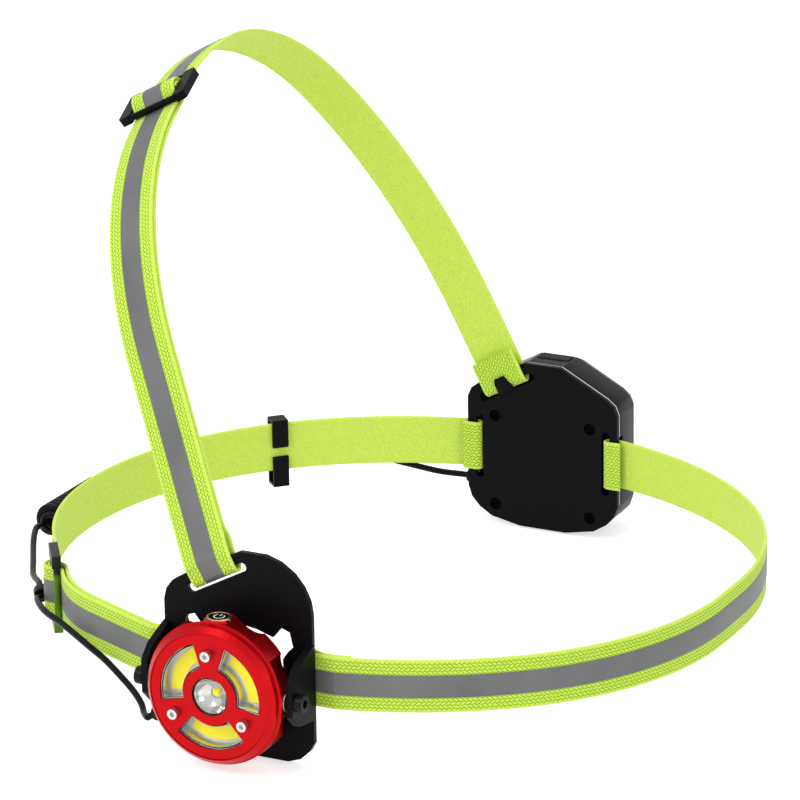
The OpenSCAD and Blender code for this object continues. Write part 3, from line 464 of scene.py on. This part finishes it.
def stations(path, place):
    """(distance, place) all along a path, close together where it turns."""
    made, gone = [(0.0, place)], 0.0
    for step in path:
        if step[0] == 0:
            length, count = step[1], max(1, ceil(step[1] / 12))
        else:
            length = step[0] * radians(abs(step[1]))
            count = max(1, ceil(abs(step[1]) / (2 if step[0] > 50 else 9)))
        if length < 1e-6:
            continue
        for i in range(1, count + 1):
            made.append((gone + length * i / count, step_to(place, step, i / count)))
        place, gone = step_to(place, step), gone + length
    return made


def corner_out(radius):
    return [[kink_r, -kink_a], [flat_r, kink_a - flat_a], [radius, flat_a - 90]]


def flip(path):
    return [s if s[0] == 0 else [s[0], -s[1]] for s in path]


def reverse(path):
    return path[::-1]


def run_x(radius, a, b):
    return radius * (dsin(b) - dsin(a))


def run_y(radius, a, b):
    return radius * (dcos(a) - dcos(b))


def corner_radius(start):
    return ((band_half_w - start - run_x(kink_r, 0, kink_a) - run_x(flat_r, kink_a, flat_a))
            / (1 - dsin(flat_a)))


def corner_drop(radius):
    return (run_y(kink_r, 0, kink_a) + run_y(flat_r, kink_a, flat_a)
            + run_y(radius, flat_a, 90))


rear_corner_r, front_corner_r = corner_radius(rear_start_x), corner_radius(front_start_x)
rear_corner_y = rear_layer_y - corner_drop(rear_corner_r)
front_corner_y = front_layer_y + corner_drop(front_corner_r)
print("corner radii:", round(rear_corner_r, 1), round(front_corner_r, 1))

# %% Folds, returns and the buckles' threading
slide_run = 2 * bar_pitch + 6
left_slider_a = left_a + left_turn
left_run = (band_half_w - front_start_x - run_x(kink_r, 0, left_a)
            - run_x(left_r, left_a, left_slider_a) - run_x(left_side_r, left_slider_a, 90)
            - (slide_run + left_lead) * dcos(left_slider_a)) / dcos(left_a)
left_corner_y = (front_layer_y + run_y(kink_r, 0, left_a) + left_run * dsin(left_a)
                 + run_y(left_r, left_a, left_slider_a) + run_y(left_side_r, left_slider_a, 90)
                 + (slide_run + left_lead) * dsin(left_slider_a))
under_r = bar_d / 2 + layer
over_r = under_r + strap_t + strap_gap
thread_a = degrees(asin((under_r + over_r) / bar_pitch))
thread_run = sqrt(bar_pitch ** 2 - (under_r + over_r) ** 2)
thread_lead = slide_run / 2 - bar_pitch
threading = [[0, thread_lead], [under_r, thread_a], [0, thread_run], [over_r, -2 * thread_a],
             [0, thread_run], [under_r, thread_a], [0, thread_lead]]
return_gap, close_r, return_a, return_r = 2 * layer, 8, 35, 6
bar_level = under_r + return_gap
return_rise = ((bar_level - under_r * dcos(return_a) - return_r * (1 - dcos(return_a)))
               / dsin(return_a))
return_back = (return_r * dsin(return_a) + return_rise * dcos(return_a)
               - under_r * dsin(return_a))


def close_a(radius):
    return degrees(acos(1 - (2 * radius - return_gap) / (2 * close_r)))


def close_up(radius, turn):
    return [[close_r, turn * close_a(radius)], [close_r, -turn * close_a(radius)]]


def close_len(radius):
    return 2 * close_r * dsin(close_a(radius))


def return_fold(turn):
    return [[0, slide_run / 2 - return_back], [return_r, turn * return_a], [0, return_rise],
            [under_r, turn * 185]]


# %% Lay a strap flat, then bend it
def strap_section(half_w, half_t):
    """Ring of (outward, across) points round a strap's cut end, in millimetres."""
    thin = 0.9 * half_t
    ends = []
    for turn in range(-60, 61, 30):
        ends.append((half_t * dsin(turn), half_w - half_t + half_t * dcos(turn)))
    face = [(half_t, half_w - half_t), (thin, 9.5), (thin, 5.6), (thin, 0),
            (thin, -5.6), (thin, -9.5), (half_t, half_t - half_w)]
    back = [(-out, across) for out, across in reversed(face)]
    far = [(-out, -across) for out, across in ends]
    return ends + face + far + back


def tape_section(level, half_w, thick):
    """Ring for a strip that lies level millimetres out from a strap's middle layer."""
    return [(level, -half_w), (level + thick * 0.7, -half_w), (level + thick, 0.3 - half_w),
            (level + thick, 0), (level + thick, half_w - 0.3), (level + thick * 0.7, half_w),
            (level, half_w)]


def bend(name, slot, runs, section, spans=None, side=1):
    """Sweeps a section along runs of (base matrix, path, start place).

    spans, if given, is one (from, to) pair of distances in millimetres for each run. side is
    -1 where the strap's outer face is to the right of its path.
    """
    solid = bmesh.new()
    lay = solid.verts.layers.float_vector.new("lay")
    total = 0.0
    for number, (base, path, start) in enumerate(runs):
        line = stations(path, start)
        if spans:
            low, high = spans[number]
            if low is None:
                continue
            line = [s for s in line if low <= s[0] <= high]
        ring = [solid.verts.new((0, side * out, across)) for out, across in section]
        edges = [solid.edges.new((a, b)) for a, b in zip(ring, ring[1:] + ring[:1])]
        bmesh.ops.contextual_create(solid, geom=edges)
        placed = Matrix.Identity(4)
        for index, (gone, (x, y, heading)) in enumerate(line):
            if index:
                grown = bmesh.ops.extrude_edge_only(solid, edges=edges)["geom"]
                ring = [g for g in grown if isinstance(g, bmesh.types.BMVert)]
                edges = [g for g in grown if isinstance(g, bmesh.types.BMEdge)
                         and all(v in ring for v in g.verts)]
            here = (base @ Matrix.Translation((x, y, 0)) @ Matrix.Rotation(radians(heading), 4, "Z"))
            bmesh.ops.transform(solid, matrix=here @ placed.inverted(), verts=ring)
            flat = here.inverted()
            for vert in ring:
                local = flat @ vert.co
                vert[lay] = Vector((total + gone, local.z, side * local.y)) * MM
            placed = here
        bmesh.ops.contextual_create(solid, geom=edges)
        total += line[-1][0]
    bmesh.ops.recalc_face_normals(solid, faces=solid.faces)
    bmesh.ops.scale(solid, vec=(MM, MM, MM), verts=solid.verts)
    smooth_but_hard(solid, 60)
    mesh = bpy.data.meshes.new(name)
    solid.to_mesh(mesh)
    solid.free()
    made = link(name, mesh, slot, "harness")
    print(name, "is", round(total), "mm long and has", len(mesh.polygons), "faces")
    return made


# %% [markdown]
# ## The knit
# Elastic webbing is knitted in columns of small slanted leaves with dark gaps between them on
# its outer face, and in finer diagonal ribs on the side next to the body. Both patterns are
# worked out from the flat lay of the strap, in metres.

# %% Knitted finish
weave = bpy.data.materials.new("webbing")
weave.use_nodes = True
tree = weave.node_tree
shader = tree.nodes["Principled BSDF"]
flat = add(tree, "SeparateXYZ",
           Vector=add(tree, "Attribute", {"attribute_name": "lay"}).outputs["Vector"]).outputs
along, across, side = flat["X"], flat["Y"], flat["Z"]
wobble = add(tree, "TexNoise", Vector=add(tree, "TexCoord").outputs["Object"], Scale=420.0,
             Detail=2.0).outputs["Fac"]
column = calc(tree, "MULTIPLY_ADD", across, 1 / (1.55 * MM), 0.5)
number = calc(tree, "FLOOR", column)
within = calc(tree, "SUBTRACT", calc(tree, "FRACT", column), 0.5)
odd = calc(tree, "PINGPONG", number, 1.0)
slant = calc(tree, "MULTIPLY_ADD", odd, 2.0, -1.0)
shift = calc(tree, "MULTIPLY_ADD", calc(tree, "MULTIPLY", within, slant), 0.7,
             calc(tree, "MULTIPLY", odd, 0.5))
row = calc(tree, "ADD", calc(tree, "MULTIPLY_ADD", along, 1 / (2.1 * MM), shift),
           calc(tree, "MULTIPLY", wobble, 0.35))
leaf = calc(tree, "POWER", calc(tree, "ABSOLUTE", calc(tree, "SINE",
            calc(tree, "MULTIPLY", row, pi))), 0.6)
belly = calc(tree, "SUBTRACT", 1.0, calc(tree, "MULTIPLY",
             calc(tree, "MULTIPLY", within, within), 2.6))
knit = calc(tree, "MULTIPLY", leaf, belly)
rib_line = calc(tree, "ADD", calc(tree, "MULTIPLY", across, 1 / (0.85 * MM)),
                calc(tree, "MULTIPLY", along, 1 / (1.5 * MM)))
rib = calc(tree, "MULTIPLY_ADD", calc(tree, "SINE", calc(tree, "MULTIPLY", rib_line, 2 * pi)),
           0.25, 0.7)
fine_rib = calc(tree, "MULTIPLY_ADD", wobble, 0.3, rib)
outer = add(tree, "MapRange", Value=side, From_Min=-0.0003, From_Max=0.0003).outputs[0]
height = add(tree, "Mix", {"data_type": "FLOAT"}, Factor=outer)
tree.links.new(fine_rib, height.inputs[2])
tree.links.new(knit, height.inputs[3])
edge = add(tree, "MapRange", Value=calc(tree, "ABSOLUTE", across), From_Min=10.7 * MM,
           From_Max=11.2 * MM).outputs[0]
hem = calc(tree, "MULTIPLY_ADD", calc(tree, "SINE", calc(tree, "MULTIPLY", along,
           2 * pi / (1.1 * MM))), 0.12, 0.8)
surface = add(tree, "Mix", {"data_type": "FLOAT"}, Factor=edge)
tree.links.new(height.outputs[0], surface.inputs[2])
tree.links.new(hem, surface.inputs[3])
colours = add(tree, "ValToRGB", Fac=surface.outputs[0])
stops = colours.color_ramp.elements
stops[0].position, stops[0].color = 0.2, (0.13, 0.31, 0.001, 1)
stops[1].position, stops[1].color = 0.9, (0.80, 1.0, 0.16, 1)
middle = stops.new(0.45)
middle.color = (0.60, 0.93, 0.045, 1)
stray = add(tree, "TexNoise", Vector=add(tree, "TexCoord").outputs["Object"], Scale=1500.0,
            Detail=3.0, Roughness=0.6).outputs["Fac"]
fleck = add(tree, "MapRange", Value=stray, From_Min=0.38, From_Max=0.58, To_Min=0.84,
            To_Max=1.0).outputs[0]
dyed = add(tree, "VectorMath", {"operation": "SCALE"}, Scale=fleck)
tree.links.new(colours.outputs["Color"], dyed.inputs[0])
tree.links.new(dyed.outputs["Vector"], shader.inputs["Base Color"])
bump = add(tree, "Bump", Height=calc(tree, "MULTIPLY_ADD", fleck, 0.5, surface.outputs[0]),
           Strength=0.6, Distance=0.0003)
tree.links.new(bump.outputs["Normal"], shader.inputs["Normal"])
shader.inputs["Roughness"].default_value = 0.75
shader.inputs["Specular IOR Level"].default_value = 0.2
shader.inputs["Sheen Weight"].default_value = 0.15
shader.inputs["Sheen Roughness"].default_value = 0.5
finishes["webbing"] = weave

# %% Reflective tape
finish("tape", (0.16, 0.162, 0.165), 0.45, metal=0.2, specular=0.4, grain=5200, depth=0.3,
       drift=0.22)


def run_length(path):
    return sum(step[1] if step[0] == 0 else step[0] * radians(abs(step[1])) for step in path)


# Half width and thickness of the reflective strip on the straps' outer faces, in millimetres
tape_half_w, tape_t = 5.1, 0.2
strip = tape_section(strap_t / 2 - 0.08, tape_half_w, tape_t)


# %% Band, right side
rear_turn = Matrix.Translation((slot_edge + tab_len, rear_layer_y - 2 * fold_r, 0)) \
    @ Matrix.Rotation(pi, 4, "Z")
plate_lead, pin_lead = rear_start_x - slot_edge, front_start_x - pin_x
right_path = [[0, tab_len], [fold_r, -180], [0, plate_lead], *corner_out(rear_corner_r),
              [0, rear_corner_y - front_corner_y], *reverse(corner_out(front_corner_r)),
              [0, pin_lead], [pin_r, -180], *close_up(pin_r, -1),
              [0, pin_lead - close_len(pin_r)], [kink_r - return_gap, kink_a], [0, tab_len]]
section = strap_section(strap_w / 2, strap_t / 2)
right_runs = [(rear_turn, right_path, (0, 0, 0))]
right = bend("band_right", "webbing", right_runs, section)
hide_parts("band_strap_right")
tab_fold = run_length(right_path[:2])
bend("tape_right", "tape", right_runs, strip,
     [(tab_fold, run_length(right_path[:11]) + 1.6 * pin_r)])

# %% Band, left side
left_turned = Matrix.Translation((-slot_edge - tab_len, rear_layer_y - 2 * fold_r, 0))
left_path = [[0, tab_len], [fold_r, 180], [0, plate_lead], *flip(corner_out(rear_corner_r)),
             [0, rear_corner_y - left_corner_y], [left_side_r, 90 - left_slider_a],
             [0, left_lead], *flip(threading), [left_r, left_turn], [0, left_run], [kink_r, left_a], [0, pin_lead],
             [pin_r, 180], *close_up(pin_r, 1), [0, pin_lead - close_len(pin_r)],
             [kink_r - return_gap, -left_a], [0, left_run], [left_r - return_gap, -left_turn],
             *return_fold(1)]
left_runs = [(left_turned, left_path, (0, 0, 0))]
left = bend("band_left", "webbing", left_runs, section, side=-1)
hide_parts("band_strap_left")
bend("tape_left", "tape", left_runs, strip,
     [(tab_fold, run_length(left_path[:20]) + 1.6 * pin_r)], side=-1)

# %% Over-shoulder strap
front_slot_x, front_slot_z, rear_shoulder_x, rear_shoulder_z = -9.6, 40.4, -18.5, 31.7


def up_lean(x, z):
    return z * dcos(lean) - x * dsin(lean)


def across_lean(x, z):
    return x * dcos(lean) + z * dsin(lean)


front_slot_u = up_lean(front_slot_x, front_slot_z) + slot_w / 2
rear_slot_u = up_lean(rear_shoulder_x, rear_shoulder_z) + slot_w / 2
front_slot_v = across_lean(front_slot_x, front_slot_z)
rear_slot_v = across_lean(rear_shoulder_x, rear_shoulder_z)
front_fold_y = front_y + plate_t / 2 - fold_r
arch_yaw = degrees(atan((front_slot_v - rear_slot_v) / (rear_layer_y - front_fold_y)))
arch_span = (rear_layer_y - front_fold_y) / dcos(arch_yaw)
rear_lead, front_lead, bend_r = 8, 5.4, 8
arch_flank = [[0, arch_rise], [arch_rear_r, -arch_rear_a]]
arch_start = (0, rear_slot_u + rear_lead, 90)
arch_knee = after(arch_flank, 2, arch_start)
arch_cap_r = (arch_top - arch_knee[1]) / (1 - dsin(arch_rear_a))
arch_upper = arch_flank + [[arch_cap_r, arch_rear_a - 90], [arch_front_r, -buckle_a]]
arch_over = after(arch_upper + [[0, slide_run]], 5, arch_start)
arch_dx = arch_span - bend_r - (arch_over[0] + arch_front_r * dsin(arch_over[2]))
arch_dy = front_slot_u + front_lead - (arch_over[1] - arch_front_r * dcos(arch_over[2]))
arch_dr = arch_front_r - bend_r
arch_fall = sqrt(arch_dx ** 2 + arch_dy ** 2 - arch_dr ** 2)
arch_end_a = degrees(atan2(arch_dy, arch_dx) - atan2(arch_dr, arch_fall))
arch_main = arch_upper + threading + [[arch_front_r, arch_end_a - arch_over[2]],
                                      [0, arch_fall], [bend_r, -90 - arch_end_a]]
arch_return = [[bend_r - 2 * fold_r, 90 + arch_end_a], [0, 4], *close_up(fold_r, -1),
               [0, arch_fall - 4 - close_len(fold_r)],
               [arch_front_r - return_gap, arch_over[2] - arch_end_a], *return_fold(-1)]
shoulder_tab = tab_len + 8


def turned(axis, angle):
    return Matrix.Rotation(radians(angle), 4, axis)


def leaning(v, y, turn):
    """Frame of the leaning strap: X to the front and Y up, from a slot's layer."""
    return (turned("Y", -lean) @ Matrix.Translation((v, y, 0)) @ turned("Z", turn - 90)
            @ turned("X", 90))


rear_frame = leaning(rear_slot_v, rear_layer_y, 0)
arch_frame = leaning(rear_slot_v, rear_layer_y, arch_yaw)
front_frame = leaning(front_slot_v, front_fold_y, 0)
up_rear = (2 * fold_r, rear_slot_u + shoulder_tab, -90)
up_front = (0, front_slot_u + front_lead, -90)
up_return = (arch_span - 2 * fold_r, front_slot_u + front_lead, 90)
shoulder_runs = [
    (rear_frame, [[0, shoulder_tab], [fold_r, -180], [0, rear_lead]], up_rear),
    (arch_frame, arch_main, arch_start),
    (front_frame, [[0, front_lead], [fold_r, -180], [0, front_lead]], up_front),
    (arch_frame, arch_return, up_return)]
shoulder = bend("strap_shoulder", "webbing", shoulder_runs, section)
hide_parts("shoulder_strap")
rear_start = shoulder_tab + radians(150) * fold_r
bend("tape_shoulder", "tape", shoulder_runs, strip,
     [(rear_start, 1e4), (0, 1e4), (0, front_lead + radians(60) * fold_r), (None, None)])

# %% Black tongue that holds the folded end down at the rear plate's slot
tongue = [(-5.5, -3.8), (4, -3.8), (4, 2), (3, 4), (-2.5, 4), (-3.5, 0.5)]
tongue_t = 1.2
solid = bmesh.new()
near = 2 * fold_r + strap_t / 2
solid.faces.new([solid.verts.new((near, rear_slot_u + up, side)) for side, up in tongue])
grown = bmesh.ops.extrude_face_region(solid, geom=solid.faces)["geom"]
bmesh.ops.translate(solid, verts=[v for v in grown if isinstance(v, bmesh.types.BMVert)],
                    vec=(tongue_t, 0, 0))
bmesh.ops.recalc_face_normals(solid, faces=solid.faces)
bmesh.ops.bevel(solid, geom=solid.edges, offset=0.35, segments=2, profile=0.5, affect="EDGES")
bmesh.ops.transform(solid, matrix=Matrix.Scale(MM, 4) @ rear_frame, verts=solid.verts)
smooth_but_hard(solid)
tongue_mesh = bpy.data.meshes.new("tab_tongue")
solid.to_mesh(tongue_mesh)
solid.free()
link("tab_tongue", tongue_mesh, "black_nylon", "harness")
print("tongue:", len(tongue_mesh.polygons), "faces")

# %% [markdown]
# ## The lead
# A round lead leaves the battery case, lies in the clip's hook, winds into a stretchy coil and
# runs on through the clamp into the lamp. It is one curve in three lengths, drawn through the
# same points as the construction model, with a smooth spline between them.

# %% Smooth curve through a route
cord_d, coil_r, coil_pitch, coil_turns, coil_back, coil_ramp, coil_z = 3, 6, 3.8, 12, 34, 4.2, -3
coil_x = -band_half_w - 9.6
coil_end = coil_back - coil_turns * coil_pitch - 2 * (coil_ramp + cord_d)


def catmull(a, b, c, d, t):
    return 0.5 * (2 * b + (c - a) * t + (2 * a - 5 * b + 4 * c - d) * t * t
                  + (3 * b - a - 3 * c + d) * t ** 3)


def smooth_route(points, count):
    points = [Vector(p) for p in points]
    last, made = len(points) - 1, []
    for i in range(last):
        near = (points[max(i - 1, 0)], points[i], points[i + 1], points[min(i + 2, last)])
        made += [catmull(*near, k / count) for k in range(count)]
    return made + [points[last]]


def lead(name, node, points, blend_from=None):
    """A lead through points in millimetres, standing for its node.

    blend_from, if given, turns the lead into a smooth-shaded mesh that rides on no body; the point itself is not
    used.
    """
    curve = bpy.data.curves.new(name, "CURVE")
    curve.dimensions = "3D"
    curve.bevel_depth = cord_d / 2 * MM
    curve.bevel_resolution = 5
    curve.use_fill_caps = True
    spline = curve.splines.new("POLY")
    spline.points.add(len(points) - 1)
    for knot, point in zip(spline.points, points):
        knot.co = (*(Vector(point) * MM), 1)
    spline.use_smooth = True
    curve.materials.append(finishes["cord_black"])
    made = bpy.data.objects.new(name, curve)
    scene.collection.objects.link(made)
    if blend_from:
        skin = bpy.data.meshes.new_from_object(made)
        bpy.data.objects.remove(made)
        made = bpy.data.objects.new(name, skin)
        scene.collection.objects.link(made)
        for face in skin.polygons:
            face.use_smooth = True
    if blend_from:
        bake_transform(made)
    else:
        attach(made, "harness")
    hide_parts(node)
    real = sum((b - a).length for a, b in zip(points, points[1:]))
    print(name, "runs", round(real, 1), "mm")
    return made


# %% Places that the lead passes
case_low, case_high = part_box("battery_case")
gland_y, gland_z = case_low.y / MM + 7.4, -20.5
case_gland_tip = -rear_half_w - 5.5
clip_a, clip_cord_r = 45, rear_corner_r + layer + cord_d / 2
clip_x = rear_corner_r - band_half_w
slider_at = after(left_path, 9, (-slot_edge - tab_len, rear_layer_y - 2 * fold_r, 0))
clamp_rise, clamp_z, gland_turn, gland_lift, gland_tip = 4.7, -5.5, 208, -1.6, 38
pivot_y, pivot_z = front_y - 16.2, -3


def clip_point(a):
    return (clip_x + clip_cord_r * dcos(90 + a), rear_corner_y + clip_cord_r * dsin(90 + a), -8.5)


def clamp_point(d):
    heading = slider_at[2]
    out, gone = under_r + bar_d / 2 + clamp_rise, slide_run / 2 - bar_pitch + d
    return (slider_at[0] + gone * dcos(heading) + out * dsin(heading),
            slider_at[1] + gone * dsin(heading) - out * dcos(heading), clamp_z)


def gland_point(d):
    return ((gland_tip + d) * dcos(gland_turn), pivot_y - gland_lift,
            pivot_z + (gland_tip + d) * dsin(gland_turn))


# %% Lead from the case to the coil
rear_route = [(case_gland_tip - 0.3, gland_y, gland_z), (case_gland_tip - 4, gland_y, gland_z),
              (-60, 160.5, -19.5), (-75, 153, -15), (-92, 145, -10.5), clip_point(clip_a - 7),
              clip_point(clip_a), clip_point(clip_a + 6), (-149, 85, -9.5), (-160, 69, -8.5),
              (-168.5, 56, -6), (coil_x + 1, 46, coil_z - 1), (coil_x, coil_back + 4, coil_z),
              (coil_x, coil_back, coil_z)]
rear_line = smooth_route(rear_route, 6)
lead("lead_rear", "cord_rear", rear_line)


# %% Coil
def ease(t):
    return t * t * (3 - 2 * t)


def coil_at(radius, angle, y):
    return Vector((coil_x + radius * dcos(angle), y, coil_z + radius * dsin(angle)))


opening = 12
turns_start = coil_back - cord_d - coil_ramp
steps = coil_turns * 24
coil_line = [coil_at(0, 0, coil_back)]
coil_line += [coil_at(coil_r * ease(i / opening), i * 180 / opening - 180,
                      coil_back - cord_d - coil_ramp * i / opening) for i in range(opening)]
coil_line += [coil_at(coil_r, i * 15, turns_start - coil_turns * coil_pitch * i / steps)
              for i in range(steps + 1)]
coil_line += [coil_at(coil_r * ease(i / opening), (opening - i) * 180 / opening,
                      coil_end + cord_d + coil_ramp * i / opening)
              for i in range(opening - 1, -1, -1)]
coil_line += [coil_at(0, 0, coil_end)]
lead("lead_coil", "cord_coil", coil_line)

# %% Lead from the coil to the lamp
front_route = [(coil_x, coil_end, coil_z), (coil_x, coil_end - 4, coil_z), (-169.5, -39, -4),
               (-164.5, -48, -5.5), (-158, -59, -6.5), (-149, -74, -7), clamp_point(-14),
               clamp_point(-8), clamp_point(0), clamp_point(4), (-129, -104, -5.3),
               (-118, -116, -5), (-102.5, -126, -5.5), (-84, -137, -8), (-72, -142.5, -11),
               (-61, -147.5, -15.5), (-52.5, -152, -19), (-46, -157, -21.7),
               (-41.5, -162.5, -23.2), gland_point(4.5), gland_point(3), gland_point(0.9)]
front_line = smooth_route(front_route, 6)
lead("lead_front", "cord_front", front_line,
     blend_from=(-61, -147.5, -15.5))
